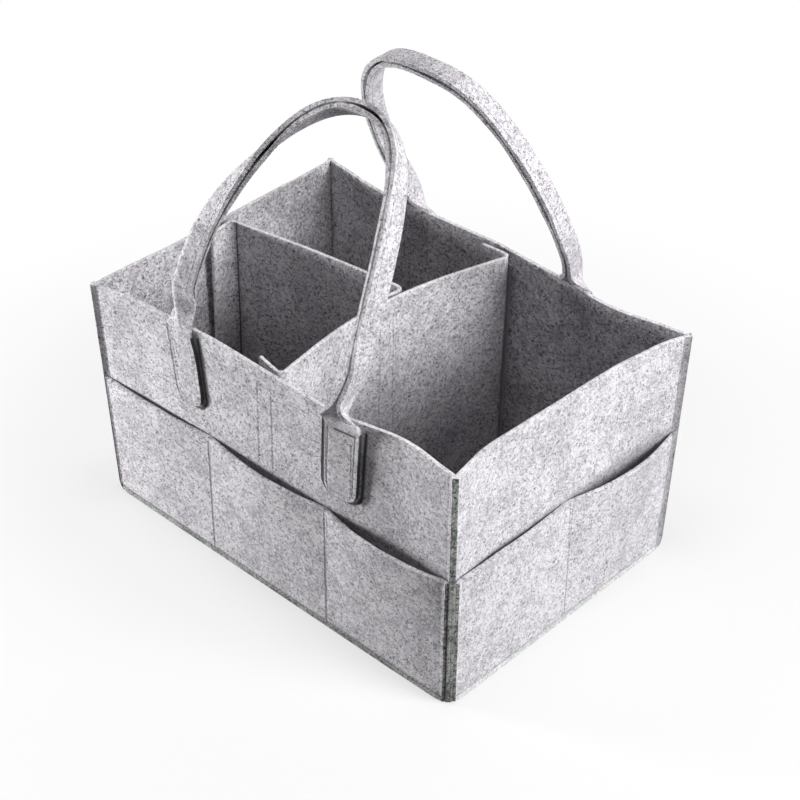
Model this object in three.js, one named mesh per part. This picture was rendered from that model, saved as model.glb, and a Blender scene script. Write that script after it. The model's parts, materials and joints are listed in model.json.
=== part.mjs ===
// Felt caddy: a sewn tub of stiff felt with pocket strips outside, two folded felt handles on sewn tabs,
// and two lift-out dividers held by hook tape. Millimetres, +Z up, origin under the middle of the tub.
// +X is one short end wall, -Y is the front long wall.
import * as THREE from "three";

// Tub: length and width are taken between the middles of the corners' raw edges
const overall_length = 330;
const overall_width = 230;
const rim_height = 178;
const felt = 2.8;
const layer_gap = 0.3;
const seam_allowance = 5;
const foot_inset = 2.4;

// How far each corner stands off from the straight box, as shares of the offset, outward in x and y
const corner_offset = 4;
const corners = {
  front_right: { foot_shares: [0.4, 0.3], rim_shares: [-0.55, -0.6], lift_share: 0.7 },
  front_left: { foot_shares: [-0.3, -0.4], rim_shares: [0.2, 0.9], lift_share: -0.5 },
  back_right: { foot_shares: [0.1, -0.2], rim_shares: [0.5, 0.1], lift_share: -0.3 },
  back_left: { foot_shares: [0, 0], rim_shares: [0.8, 0.1], lift_share: 0.7 },
};
const lift_power = 4;

// Pockets
const pocket_height = 100;
const pocket_gape_depth = 10;
const pocket_edge_setback = 0.7;
const long_seam_share = 0.336;
const gape_power = 1.5;
const gape_shares = {
  front: [0.3, 0.65, 1],
  back: [0.8, 0.75, 0.8],
  right_end: [0.3, 1],
  left_end: [0.8, 0.75],
};

// How far the rims bow inward: places along the wall and amounts, as shares
const rim_bow_depth = 8;
const bow_power = 2;
const bow_shares = {
  front: [[-1, 0], [-0.75, 0.55], [-0.3, 0.7], [0.03, 0.35], [0.37, 0.05], [0.7, 1.1], [1, 0]],
  back: [[-1, 0], [-0.67, 1.2], [-0.3, 0.45], [0, 0], [0.3, 0.25], [0.66, 0.7], [1, 0]],
  right_end: [[-1, 0], [-0.65, 1.1], [0.4, 1.1], [0.8, 0.6], [1, 0]],
  left_end: [[-1, 0], [-0.5, -0.1], [0, 0.1], [0.4, 0.4], [1, 0]],
};

// Dividers
const divider_rim_drop = 0.5;
const divider_front_x = 7;
const divider_back_x = 17;
const divider_bow_depth = 17;
const fold_radius = 4;
const divider_flange = 25;
const short_left_y = 6;
const short_right_y = 23.5;
const short_bow_depth = 2;
const short_left_flange = 24;
const short_right_flange = 27;

// Hook tapes
const tape = 1.2;
const tape_width = 17;
const tape_foot = 12;
const tape_rim_drop = 10;
const tape_setback = 9.5;
const end_tape_setback = 10;
const divider_tape_y = 2.5;

// Handles
const handle_half_spacing = 74;
const tab_width = 28;
const tab_height = 56.7;
const tab_rim_drop = 0.3;
const tab_shoulder_drop = 11.7;
const tab_neck = 14;
const tab_radius = 9;
const strap_depth = 16;
const strap_slit = 0.4;
const strap_fold = 3;
const strap_foot_width = 13;
const strap_end_radius = 3.5;
const strap_end_clearance = 0.5;
const hinge_outset = 2.5;
const neck_length = 22;
const strap_rise = 181;
const front_arch = {
  root_lean: 8,
  crown_lean: 46,
  power: 2.2,
  skew_share: 0.08,
  rise_share: 1,
  swell_share: 0,
};
const back_arch = {
  root_lean: 30,
  crown_lean: 22,
  power: 2.9,
  skew_share: -0.01,
  rise_share: 0.975,
  swell_share: 0.07,
};

// Threads
const thread_width = 0.8;
const thread_height = 0.6;
const thread_clearance = 0.25;
const stitch_inset = 4;
const flange_stitch_inset = 1.6;
const base_stitch_height = 6;
const stitch_start = 9;
const stitch_stop = 3;
const tape_stitch_inset = 2;
const loop_opening = 1.5;

// Steps
const section_steps = 6;
const row_shares = [0, 0.14, 0.28, 0.42];
const upper_row_shares = [0.333, 0.667, 1];
const fold_steps = 3;
const divider_steps = 10;
const strap_steps = 44;
const neck_steps = 4;
const round_steps = 3;
const end_shares = [0.92, 0.7, 0.36];
const profile_steps = 100;
const seam_steps = 7;

const root_half = Math.SQRT1_2;
const layer_pitch = felt + layer_gap;
const layer_start = layer_pitch / 2;
const allowance_run = seam_allowance * root_half;
const wall_foot = layer_pitch;
const strap_thickness = felt + strap_slit + felt;
const thread_lift = thread_clearance + thread_height / 2;
const divider_top = rim_height - divider_rim_drop;
const tape_top = rim_height - tape_rim_drop;
const tab_top = rim_height - tab_rim_drop;
const tab_foot = tab_top - tab_height;
const tab_shoulder = tab_top - tab_shoulder_drop;

const lerp = THREE.MathUtils.lerp;
const radians = THREE.MathUtils.degToRad;

// Smooth steps between pairs of place and amount
function along(pairs, place) {
  const next = pairs.findIndex(([at]) => at >= place);
  if (next <= 0) return pairs[next < 0 ? pairs.length - 1 : 0][1];
  const [from, low] = pairs[next - 1];
  const [to, high] = pairs[next];
  return lerp(low, high, THREE.MathUtils.smoothstep(place, from, to));
}

// The tip of a corner's raw edges in plan, both coordinates counted outward
function cornerTip(corner, z) {
  const share = z / rim_height;
  const taper = foot_inset * (1 - share);
  return [overall_length, overall_width].map((overall, i) => {
    const offset = corner_offset * lerp(corner.foot_shares[i], corner.rim_shares[i], share);
    return overall / 2 - taper + offset;
  });
}

// A wall in its own terms: u runs to the right seen from outside, v points outward
function makeWall(name, left, right, divisions, place) {
  const is_long = divisions.length > 1;
  const half = (is_long ? overall_length : overall_width) / 2;
  const reach = half - allowance_run;
  const stops = [-reach, ...divisions.map((share) => share * half), reach];
  const columns = [];
  for (let section = 0; section < stops.length - 1; section += 1) {
    for (let step = 0; step < section_steps; step += 1) {
      columns.push(lerp(stops[section], stops[section + 1], step / section_steps));
    }
  }
  columns.push(reach);
  return { name, is_long, corners: [left, right], stops, columns, reach, place };
}

const long_divisions = [-long_seam_share, long_seam_share];
const front = makeWall("front", corners.front_left, corners.front_right, long_divisions,
  (u, v, z) => new THREE.Vector3(u, -v, z));
const back = makeWall("back", corners.back_right, corners.back_left, long_divisions,
  (u, v, z) => new THREE.Vector3(-u, v, z));
const right_end = makeWall("right_end", corners.front_right, corners.back_right, [0],
  (u, v, z) => new THREE.Vector3(v, u, z));
const left_end = makeWall("left_end", corners.back_left, corners.front_left, [0],
  (u, v, z) => new THREE.Vector3(-v, -u, z));
const walls = [front, right_end, back, left_end];

function wallTip(wall, side, z) {
  const [x, y] = cornerTip(wall.corners[side < 0 ? 0 : 1], z);
  return wall.is_long ? [x, y] : [y, x];
}

// Where a layer turns outward into the corner's seam allowance
function crease(wall, side, z, offset) {
  const [tip_u, tip_v] = wallTip(wall, side, z);
  const v = tip_v - allowance_run + layer_start * root_half + offset;
  const u = v + tip_u - tip_v - (layer_start + offset) * Math.SQRT2;
  return [side * u, v];
}

function flangeTip(wall, side, z, offset, cut) {
  const [tip_u, tip_v] = wallTip(wall, side, z);
  const shift = (layer_start + offset) * root_half;
  return [side * (tip_u - shift - cut), tip_v + shift - cut];
}

// The wall's middle surface between its creases
function wallMiddle(wall, u, z) {
  const [left_u, left_v] = crease(wall, -1, z, 0);
  const [right_u, right_v] = crease(wall, 1, z, 0);
  const straight = lerp(left_v, right_v, (u - left_u) / (right_u - left_u));
  const bow = rim_bow_depth * along(bow_shares[wall.name], u / wall.reach) * (z / rim_height) ** bow_power;
  return straight - bow;
}

const lower_rows = row_shares.map((share) => lerp(wall_foot, rim_height, share));
const upper_rows = upper_row_shares.map((share) => lerp(pocket_height, rim_height, share));
const pocket_rows = [...lower_rows, pocket_height];
const wall_rows = [...pocket_rows, ...upper_rows];

// The same surface as its flat facets have it
function facet(wall, u, z) {
  const column = Math.max(1, wall.columns.findIndex((at) => at >= u));
  const found = wall_rows.findIndex((at) => at >= z);
  const row = found < 0 ? wall_rows.length - 1 : Math.max(1, found);
  const us = [wall.columns[column - 1], wall.columns[column]];
  const zs = [wall_rows[row - 1], wall_rows[row]];
  const share = (u - us[0]) / (us[1] - us[0]);
  const [low, high] = zs.map((level) => {
    return lerp(wallMiddle(wall, us[0], level), wallMiddle(wall, us[1], level), share);
  });
  return lerp(low, high, (z - zs[0]) / (zs[1] - zs[0]));
}

function gape(wall, u, z) {
  const section = wall.stops.findIndex((at) => at > u) - 1;
  if (section < 0) return 0;
  const share = (u - wall.stops[section]) / (wall.stops[section + 1] - wall.stops[section]);
  const swell = Math.sin(Math.PI * share) * (z / pocket_height) ** gape_power;
  return pocket_gape_depth * gape_shares[wall.name][section] * swell;
}

// Solids
function solid(points, triangles) {
  let volume = 0;
  for (const [a, b, c] of triangles) {
    volume += points[a].dot(points[b].clone().cross(points[c]));
  }
  const turned = volume < 0 ? triangles.map(([a, b, c]) => [a, c, b]) : triangles;
  const geometry = new THREE.BufferGeometry().setFromPoints(points);
  geometry.setIndex(turned.flat());
  geometry.computeVertexNormals();
  return geometry;
}

// A sheet of one thickness about a grid of middle points, one row at each height
function sheet(middle, thickness) {
  const rows = middle.length;
  const columns = middle[0].length;
  const points = [];
  for (const side of [thickness / 2, -thickness / 2]) {
    for (const row of middle) {
      const normals = row.map((_, i) => mitred(row, i));
      row.forEach((point, i) => points.push(point.clone().addScaledVector(normals[i], side)));
    }
  }
  const at = (side, row, column) => (side * rows + row) * columns + column;
  const triangles = [];
  const quad = (a, b, c, d) => triangles.push([a, b, c], [a, c, d]);
  for (let row = 0; row < rows - 1; row += 1) {
    for (let column = 0; column < columns - 1; column += 1) {
      quad(at(0, row, column), at(0, row + 1, column), at(0, row + 1, column + 1), at(0, row, column + 1));
      quad(at(1, row, column), at(1, row, column + 1), at(1, row + 1, column + 1), at(1, row + 1, column));
    }
    quad(at(0, row, 0), at(1, row, 0), at(1, row + 1, 0), at(0, row + 1, 0));
    const last = columns - 1;
    quad(at(0, row, last), at(0, row + 1, last), at(1, row + 1, last), at(1, row, last));
  }
  for (let column = 0; column < columns - 1; column += 1) {
    const top = rows - 1;
    quad(at(0, 0, column), at(0, 0, column + 1), at(1, 0, column + 1), at(1, 0, column));
    quad(at(0, top, column), at(1, top, column), at(1, top, column + 1), at(0, top, column + 1));
  }
  return solid(points, triangles);
}

// The sideways direction at a point of a row, lengthened where the row bends so the thickness stays even
function mitred(row, i) {
  const sides = [];
  if (i > 0) sides.push(row[i].clone().sub(row[i - 1]));
  if (i < row.length - 1) sides.push(row[i + 1].clone().sub(row[i]));
  const normals = sides.map((step) => new THREE.Vector3(-step.y, step.x, 0).normalize());
  const sum = new THREE.Vector3();
  normals.forEach((normal) => sum.add(normal));
  sum.normalize();
  return sum.divideScalar(sum.dot(normals[0]));
}

// A closed skin over rings that all have the outline's points
function skin(rings, outline) {
  const count = outline.length;
  const points = rings.flat();
  const triangles = [];
  for (let ring = 0; ring < rings.length - 1; ring += 1) {
    for (let i = 0; i < count; i += 1) {
      const j = (i + 1) % count;
      const a = ring * count + i;
      const b = ring * count + j;
      triangles.push([a, b, b + count], [a, b + count, a + count]);
    }
  }
  const last = (rings.length - 1) * count;
  const counterclockwise = THREE.ShapeUtils.area(outline) > 0;
  for (const [a, b, c] of THREE.ShapeUtils.triangulateShape(outline, [])) {
    const same = THREE.ShapeUtils.area([outline[a], outline[b], outline[c]]) > 0 === counterclockwise;
    const [p, q] = same ? [b, c] : [c, b];
    triangles.push([a, q, p], [last + a, last + p, last + q]);
  }
  return solid(points, triangles);
}

const square = [[-1, -1], [1, -1], [1, 1], [-1, 1]].map(([x, y]) => new THREE.Vector2(x, y));

// A thread along a path: axis is one direction of its section, and the other lies across the path
function thread(path, axis, axis_size, cross_size) {
  const half = axis_size / 2;
  const rings = path.map((point, i) => {
    const steps = [];
    if (i > 0) steps.push(point.clone().sub(path[i - 1]).normalize());
    if (i < path.length - 1) steps.push(path[i + 1].clone().sub(point).normalize());
    const sides = steps.map((step) => axis.clone().cross(step).normalize());
    const across = new THREE.Vector3();
    sides.forEach((side) => across.add(side));
    across.normalize();
    across.multiplyScalar(cross_size / 2 / across.dot(sides[0]));
    return square.map(({ x, y }) => {
      return point.clone().addScaledVector(axis, x * half).addScaledVector(across, y);
    });
  });
  return skin(rings, square);
}

// Base panel: a flat felt sheet out to the pockets' faces
function basePanel() {
  const outline = new THREE.Shape();
  const offset = layer_pitch + felt / 2;
  const points = walls.flatMap((wall) => [
    flangeTip(wall, -1, 0, offset, 0),
    crease(wall, -1, 0, offset),
    crease(wall, 1, 0, offset),
    flangeTip(wall, 1, 0, offset, 0),
  ].map(([u, v]) => wall.place(u, v, 0)));
  outline.setFromPoints(points.map(({ x, y }) => new THREE.Vector2(x, y)));
  return new THREE.ExtrudeGeometry(outline, { depth: felt, bevelEnabled: false });
}

// The rim rises or falls a little toward its corners
function rimLift(wall, u) {
  const share = u / wall.reach;
  const corner = wall.corners[share < 0 ? 0 : 1];
  return corner_offset * corner.lift_share * Math.min(1, Math.abs(share)) ** lift_power;
}

function wallSheet(wall) {
  const middle = wall_rows.map((z) => {
    const left = crease(wall, -1, z, 0);
    const right = crease(wall, 1, z, 0);
    const inner = wall.columns.slice(1, -1).map((u) => [u, wallMiddle(wall, u, z)]);
    const row = [flangeTip(wall, -1, z, 0, 0), left, ...inner, right, flangeTip(wall, 1, z, 0, 0)];
    const rise = (z - wall_foot) / (rim_height - wall_foot);
    const lifted = Math.max(0, (z - pocket_height) / (rim_height - pocket_height)) * rise;
    return row.map(([u, v]) => wall.place(u, v, z + lifted * rimLift(wall, u)));
  });
  return sheet(middle, felt);
}

function pocketPoint(wall, u, z, lift) {
  return [u, wallMiddle(wall, u, z) + layer_pitch + gape(wall, u, z) + lift];
}

function pocketStrip(wall) {
  const middle = pocket_rows.map((z) => {
    const inner = wall.columns.slice(1, -1).map((u) => pocketPoint(wall, u, z, 0));
    const row = [
      flangeTip(wall, -1, z, layer_pitch, pocket_edge_setback),
      crease(wall, -1, z, layer_pitch),
      ...inner,
      crease(wall, 1, z, layer_pitch),
      flangeTip(wall, 1, z, layer_pitch, pocket_edge_setback),
    ];
    return row.map(([u, v]) => wall.place(u, v, z));
  });
  return sheet(middle, felt);
}

// Threads of the tub
function cornerSeam(wall, side) {
  const face = felt / 2 + thread_lift;
  const step = flange_stitch_inset * root_half;
  const spot = (z, offset) => {
    const [u, v] = crease(wall, side, z, offset);
    return wall.place(u + side * step, v + step, z);
  };
  const jog = pocket_height + thread_width;
  const path = [];
  for (let i = 0; i < seam_steps; i += 1) {
    path.push(spot(lerp(base_stitch_height, jog, i / seam_steps), layer_pitch + face));
  }
  path.push(spot(jog, layer_pitch + face), spot(jog, face));
  for (let i = 1; i <= seam_steps; i += 1) {
    path.push(spot(lerp(jog, rim_height - stitch_stop, i / seam_steps), face));
  }
  const origin = wall.place(0, 0, 0);
  const axis = wall.place(side * root_half, root_half, 0).sub(origin);
  return thread(path, axis, thread_width, thread_height);
}

function baseSeam(wall) {
  const z = base_stitch_height;
  const lift = felt / 2 + thread_lift;
  const ends = [-1, 1].map((side) => {
    const [u, v] = crease(wall, side, z, layer_pitch);
    return [u - side * stitch_inset / 2, v + lift];
  });
  const inner = wall.columns.slice(1, -1).map((u) => pocketPoint(wall, u, z, lift));
  const path = [ends[0], ...inner, ends[1]].map(([u, v]) => wall.place(u, v, z));
  return thread(path, new THREE.Vector3(0, 0, 1), thread_width, thread_height);
}

function divisionSeam(wall, u) {
  const path = [];
  for (let i = 0; i <= seam_steps; i += 1) {
    const z = lerp(stitch_start, pocket_height - stitch_stop, i / seam_steps);
    path.push(wall.place(u, pocketFacet(wall, u, z) + felt / 2 + thread_lift, z));
  }
  const axis = wall.place(1, 0, 0).sub(wall.place(0, 0, 0));
  return thread(path, axis, thread_width, thread_height);
}

// A division seam has no gape, so the strip lies on the wall there
function pocketFacet(wall, u, z) {
  return facet(wall, u, z) + layer_pitch;
}

// A stitched arch on a wall's outer face, opposite its hook tape
function tapeSeam(wall, centre) {
  const low = pocket_height + stitch_stop;
  const high = tape_top - tape_stitch_inset;
  const reach = tape_width / 2 - tape_stitch_inset;
  const spot = (u, z) => wall.place(u, facet(wall, u, z) + felt / 2 + thread_lift, z);
  const levels = [0, 1, 2].map((i) => lerp(low, high, i / 2));
  const up = levels.map((z) => spot(centre - reach, z));
  const down = levels.reverse().map((z) => spot(centre + reach, z));
  const axis = wall.place(0, 1, 0).sub(wall.place(0, 0, 0));
  return thread([...up, ...down], axis, thread_height, thread_width);
}

function wallTape(wall, centre) {
  const levels = [tape_foot, ...wall_rows.filter((z) => z > tape_foot && z < tape_top), tape_top];
  const depth = felt / 2 + layer_gap + tape / 2;
  const shares = [-1, 0, 1];
  const middle = levels.map((z) => shares.map((share) => {
    const u = centre + share * tape_width / 2;
    return wall.place(u, facet(wall, u, z) - depth, z);
  }));
  return sheet(middle, tape);
}

// Handle tabs
function tabHalfWidth(z) {
  const half = tab_width / 2;
  if (z > tab_shoulder) {
    return lerp(half, tab_neck / 2, (z - tab_shoulder) / (tab_top - tab_shoulder));
  }
  const rise = Math.min(1, (z - tab_foot) / tab_radius);
  return half - tab_radius + tab_radius * Math.sqrt(1 - (1 - rise) ** 2);
}

function tabPoint(wall, centre, u, z, lift) {
  return wall.place(centre + u, facet(wall, centre + u, z) + layer_pitch + lift, z);
}

function tab(wall, centre) {
  const round = [];
  for (let i = 0; i <= round_steps; i += 1) {
    const angle = (Math.PI / 2) * (i / round_steps);
    round.push(tab_foot + tab_radius * (1 - Math.cos(angle)));
  }
  const middle_level = lerp(tab_foot, tab_shoulder, 1 / 2);
  const neck_level = lerp(tab_shoulder, tab_top, 1 / 2);
  const levels = [...round, middle_level, tab_shoulder, neck_level, tab_top];
  const shares = [-1, -0.5, 0, 0.5, 1];
  const middle = levels.map((z) => shares.map((share) => {
    return tabPoint(wall, centre, share * tabHalfWidth(z), z, 0);
  }));
  return sheet(middle, felt);
}

// One line of stitches round a tab, in from its edges, that stops just short of where it starts
function tabSeam(wall, centre) {
  const lift = felt / 2 + thread_lift;
  const reach = tab_width / 2 - stitch_inset;
  const top = tab_shoulder - thread_width;
  const low = tab_foot + stitch_inset;
  const radius = tab_radius - stitch_inset;
  const spots = [[-reach + loop_opening, top], [0, top], [reach, top], [reach, lerp(low, top, 1 / 2)]];
  for (let i = 0; i <= round_steps; i += 1) {
    const angle = (Math.PI / 2) * (i / round_steps);
    spots.push([reach - radius + radius * Math.cos(angle), low + radius - radius * Math.sin(angle)]);
  }
  for (let i = 0; i <= round_steps; i += 1) {
    const angle = (Math.PI / 2) * (i / round_steps);
    spots.push([-reach + radius - radius * Math.sin(angle), low + radius - radius * Math.cos(angle)]);
  }
  spots.push([-reach, lerp(low, top, 1 / 2)], [-reach, top - loop_opening]);
  const path = spots.map(([u, z]) => tabPoint(wall, centre, u, z, lift));
  const axis = wall.place(0, 1, 0).sub(wall.place(0, 0, 0));
  return thread(path, axis, thread_height, thread_width);
}

// Handles: the strap's foot turns about an axis just above the tabs
const axis_z = tab_top + strap_end_clearance + strap_end_radius;

function axisDistance(wall) {
  const spots = [-1, 1].map((side) => facet(wall, side * handle_half_spacing, tab_top));
  return (spots[0] + spots[1]) / 2 + layer_pitch + hinge_outset;
}

// How far the leaning strap has come inward and up at a share of its rise
function leaningProfile(arch) {
  const step = (strap_rise * arch.rise_share) / profile_steps;
  const places = [[0, 0]];
  for (let i = 0; i < profile_steps; i += 1) {
    const lean = radians(lerp(arch.root_lean, arch.crown_lean, (i + 0.5) / profile_steps));
    const [inward, up] = places[i];
    places.push([inward + step * Math.sin(lean), up + step * Math.cos(lean)]);
  }
  return (share) => {
    const at = Math.min(profile_steps - 1, Math.floor(share * profile_steps));
    const rest = share * profile_steps - at;
    return [0, 1].map((i) => lerp(places[at][i], places[at + 1][i], rest));
  };
}

// Points close together along a strap's middle, from its hinge axis, with the distance travelled
function strapCourse(arch, inward_sign) {
  const profile = leaningProfile(arch);
  const count = strap_steps * profile_steps;
  const course = [];
  for (let i = 0; i <= count; i += 1) {
    const turn = Math.PI * (i / count);
    const cosine = Math.cos(turn);
    const rise = Math.min(1, Math.abs(Math.sin(turn)) ** (2 / arch.power));
    const across = Math.sign(cosine) * Math.abs(cosine) ** (2 / arch.power);
    const [inward, up] = profile(rise);
    const swell = 1 + arch.swell_share * Math.sin(Math.PI * rise);
    const x = handle_half_spacing * across * swell + strap_rise * arch.skew_share * rise;
    const point = new THREE.Vector3(x, inward_sign * inward, up);
    const before = course[i - 1];
    const travelled = before ? before.travelled + point.distanceTo(before.point) : 0;
    course.push({ point, rise, travelled });
  }
  return course;
}

function onCourse(course, distance) {
  const found = course.findIndex(({ travelled }) => travelled >= distance);
  const next = found < 0 ? course.length - 1 : Math.max(1, found);
  const [from, to] = [course[next - 1], course[next]];
  const share = (distance - from.travelled) / (to.travelled - from.travelled);
  return { point: from.point.clone().lerp(to.point, share), rise: lerp(from.rise, to.rise, share) };
}

// Distances along a strap where it has a ring: close at its rounded ends and necks, even between
function stationDistances(length) {
  const distances = end_shares.map((share) => -share * strap_end_radius);
  for (let i = 0; i < neck_steps; i += 1) distances.push(neck_length * (i / neck_steps));
  const middle = strap_steps / 2 - neck_steps;
  for (let i = 0; i < middle; i += 1) distances.push(lerp(neck_length, length / 2, i / middle));
  const mirrored = [...distances].reverse().map((distance) => length - distance);
  return [...distances, length / 2, ...mirrored];
}

// Stations along a strap: place, direction of depth, outward normal, spread of the fold and half depth
function strapStations(arch, inward_sign) {
  const course = strapCourse(arch, inward_sign);
  const length = course[course.length - 1].travelled;
  return stationDistances(length).map((distance) => {
    const clipped = THREE.MathUtils.clamp(distance, 0, length);
    const beyond = distance - clipped;
    const before = onCourse(course, Math.max(0, clipped - strap_end_radius));
    const after = onCourse(course, Math.min(length, clipped + strap_end_radius));
    const tangent = after.point.sub(before.point).normalize();
    const { point, rise } = onCourse(course, clipped);
    const centre = point.addScaledVector(tangent, beyond);
    const lean = radians(lerp(arch.root_lean, arch.crown_lean, rise));
    const depth_way = new THREE.Vector3(0, inward_sign * Math.cos(lean), -Math.sin(lean));
    depth_way.addScaledVector(tangent, -tangent.dot(depth_way)).normalize();
    const outward = tangent.clone().cross(depth_way).multiplyScalar(inward_sign);
    const growth = THREE.MathUtils.smoothstep(Math.min(clipped, length - clipped), 0, neck_length);
    const full = lerp(strap_end_radius, strap_depth / 2, growth);
    const spread = lerp(strap_foot_width / strap_thickness, 1, growth);
    return { centre, depth_way, outward, spread, half_depth: Math.sqrt(full ** 2 - beyond ** 2) };
  });
}

// A felt strip folded along its middle, with the slit between its two halves on one side
function strap(stations, fold_sign) {
  const half = strap_thickness / 2;
  const slit = strap_slit / 2;
  const fold_share = 1 - 2 * strap_fold / strap_depth;
  const outline = [
    [-1, -half], [fold_share, -half], [1, -half / 2], [1, half / 2], [fold_share, half], [-1, half],
    [-1, slit], [fold_share, slit], [fold_share, -slit], [-1, -slit],
  ].map(([w, n]) => new THREE.Vector2(w, n));
  const rings = stations.map(({ centre, depth_way, outward, spread, half_depth }) => {
    return outline.map(({ x, y }) => {
      const point = centre.clone().addScaledVector(depth_way, fold_sign * x * half_depth);
      return point.addScaledVector(outward, y * spread);
    });
  });
  return skin(rings, outline);
}

function strapSeam(stations, fold_sign) {
  const skipped = neck_steps + end_shares.length;
  const inside = stations.slice(skipped, -skipped);
  const face = strap_thickness / 2 + thread_lift;
  const inset = strap_depth / 2 - stitch_inset;
  const rings = inside.map(({ centre, depth_way, outward }) => {
    const line = centre.clone().addScaledVector(depth_way, -fold_sign * inset);
    return square.map(({ x, y }) => line.clone()
      .addScaledVector(depth_way, x * thread_width / 2)
      .addScaledVector(outward, face + y * thread_height / 2));
  });
  return skin(rings, square);
}

// Dividers: sheets that stand upright, given by their plan at a height, with folded end flanges
function upright(pathAt, low, high, thickness) {
  const middle = [low, high].map((z) => pathAt(z).map(([x, y]) => new THREE.Vector3(x, y, z)));
  return sheet(middle, thickness);
}

// A round fold between two straight stretches that meet at a corner
function roundedFold(before, corner, after) {
  const middle = new THREE.Vector2(...corner);
  const back_way = new THREE.Vector2(...before).sub(middle).normalize();
  const ahead = new THREE.Vector2(...after).sub(middle).normalize();
  const half_angle = Math.acos(THREE.MathUtils.clamp(back_way.dot(ahead), -1, 1)) / 2;
  const setback = fold_radius / Math.tan(half_angle);
  const bisector = back_way.clone().add(ahead).normalize();
  const centre = middle.clone().addScaledVector(bisector, fold_radius / Math.sin(half_angle));
  const first = middle.clone().addScaledVector(back_way, setback).sub(centre);
  const last = middle.clone().addScaledVector(ahead, setback).sub(centre);
  const points = [];
  for (let i = 0; i <= fold_steps; i += 1) {
    const share = i / fold_steps;
    const turn = first.clone().lerp(last, share).setLength(fold_radius).add(centre);
    points.push([turn.x, turn.y]);
  }
  return points;
}

// The plane of a flange's middle beside a hook tape. It never leans inward, so the divider lifts out
function flangePlane(wall, from, to) {
  const stack = felt / 2 + layer_gap / 2 + layer_gap + tape + layer_gap + felt / 2;
  const spots = [from, (from + to) / 2, to];
  const face = (z) => Math.min(...spots.map((u) => facet(wall, u, z))) - stack;
  const low = face(divider_foot);
  const high = Math.max(low, face(divider_top));
  const plane = (z) => lerp(low, high, (z - divider_foot) / (divider_top - divider_foot));
  const over = Math.max(...wall_rows.map((z) => plane(z) - face(z)));
  return (z) => plane(z) - over;
}

const divider_foot = wall_foot;
const frontPlane = flangePlane(front, divider_front_x - divider_flange, divider_front_x);
const backPlane = flangePlane(back, -divider_back_x, divider_flange - divider_back_x);
const leftPlane = flangePlane(left_end, -short_left_y, short_left_flange - short_left_y);

function dividerX(y) {
  const low = -frontPlane(divider_top);
  const high = backPlane(divider_top);
  const share = (y - low) / (high - low);
  return lerp(divider_front_x, divider_back_x, share) - divider_bow_depth * Math.sin(Math.PI * share);
}

function mainDividerPath(z) {
  const front_y = -frontPlane(z);
  const back_y = backPlane(z);
  const span = [];
  for (let i = 0; i <= divider_steps; i += 1) {
    const y = lerp(front_y + fold_radius * 2, back_y - fold_radius * 2, i / divider_steps);
    span.push([dividerX(y), y]);
  }
  const front_end = [divider_front_x - divider_flange, front_y];
  const back_end = [divider_back_x - divider_flange, back_y];
  return [
    front_end,
    ...roundedFold(front_end, [dividerX(front_y), front_y], span[0]),
    ...span,
    ...roundedFold(span[divider_steps], [dividerX(back_y), back_y], back_end),
    back_end,
  ];
}

function dividerFlangeX(y) {
  return dividerX(y) - felt - layer_gap - tape - layer_gap;
}

function shortDividerPath(z) {
  const left_x = -leftPlane(z);
  const right_x = dividerFlangeX(short_right_y);
  const span = [];
  for (let i = 0; i <= divider_steps; i += 1) {
    const share = i / divider_steps;
    const x = lerp(left_x + fold_radius * 2, right_x - fold_radius * 2, share);
    span.push([x, lerp(short_left_y, short_right_y, share) + short_bow_depth * Math.sin(Math.PI * share)]);
  }
  const left_end_point = [left_x, short_left_y - short_left_flange];
  const flange = [1 / 2, 1].map((share) => {
    const y = short_right_y - short_right_flange * share;
    return [dividerFlangeX(y), y];
  });
  return [
    left_end_point,
    ...roundedFold(left_end_point, [left_x, short_left_y], span[0]),
    ...span,
    ...roundedFold(span[divider_steps], [right_x, short_right_y], flange[0]),
    ...flange,
  ];
}

function dividerTape() {
  const spots = [-1, 0, 1].map((share) => {
    const y = divider_tape_y + share * tape_width / 2;
    return [dividerX(y) - felt / 2 - layer_gap - tape / 2, y];
  });
  return upright(() => spots, tape_foot, tape_top, tape);
}

function dividerTapeSeam() {
  const reach = tape_width / 2 - tape_stitch_inset;
  const low = tape_foot + tape_stitch_inset;
  const high = tape_top - tape_stitch_inset;
  const spots = [[-reach, low], [-reach, high], [0, high], [reach, high], [reach, low]];
  const path = spots.map(([across, z]) => {
    const y = divider_tape_y + across;
    return new THREE.Vector3(dividerX(y) + felt / 2 + thread_lift + thread_clearance, y, z);
  });
  return thread(path, new THREE.Vector3(1, 0, 0), thread_height, thread_width);
}

function foldSeam(flangeY, inward_sign) {
  const path = [divider_foot + stitch_stop, divider_top - stitch_stop].map((z) => {
    const y = flangeY(z) + inward_sign * (fold_radius * 2 + stitch_inset / 2);
    return new THREE.Vector3(dividerX(y) + felt / 2 + thread_lift + thread_clearance, y, z);
  });
  return thread(path, new THREE.Vector3(1, 0, 0), thread_height, thread_width);
}

// Assembly
const felt_colour = 0xc9c8cc;
const tape_colour = 0xe4e4e6;
const thread_colour = 0xa5a4a8;

function piece(name, geometry, colour, roughness) {
  const material = new THREE.MeshStandardMaterial({ color: colour, roughness, metalness: 0 });
  const mesh = new THREE.Mesh(geometry, material);
  mesh.name = name;
  return mesh;
}

const feltPiece = (name, geometry) => piece(name, geometry, felt_colour, 1);
const tapePiece = (name, geometry) => piece(name, geometry, tape_colour, 0.8);
const threadPiece = (name, geometry) => piece(name, geometry, thread_colour, 0.7);

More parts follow.
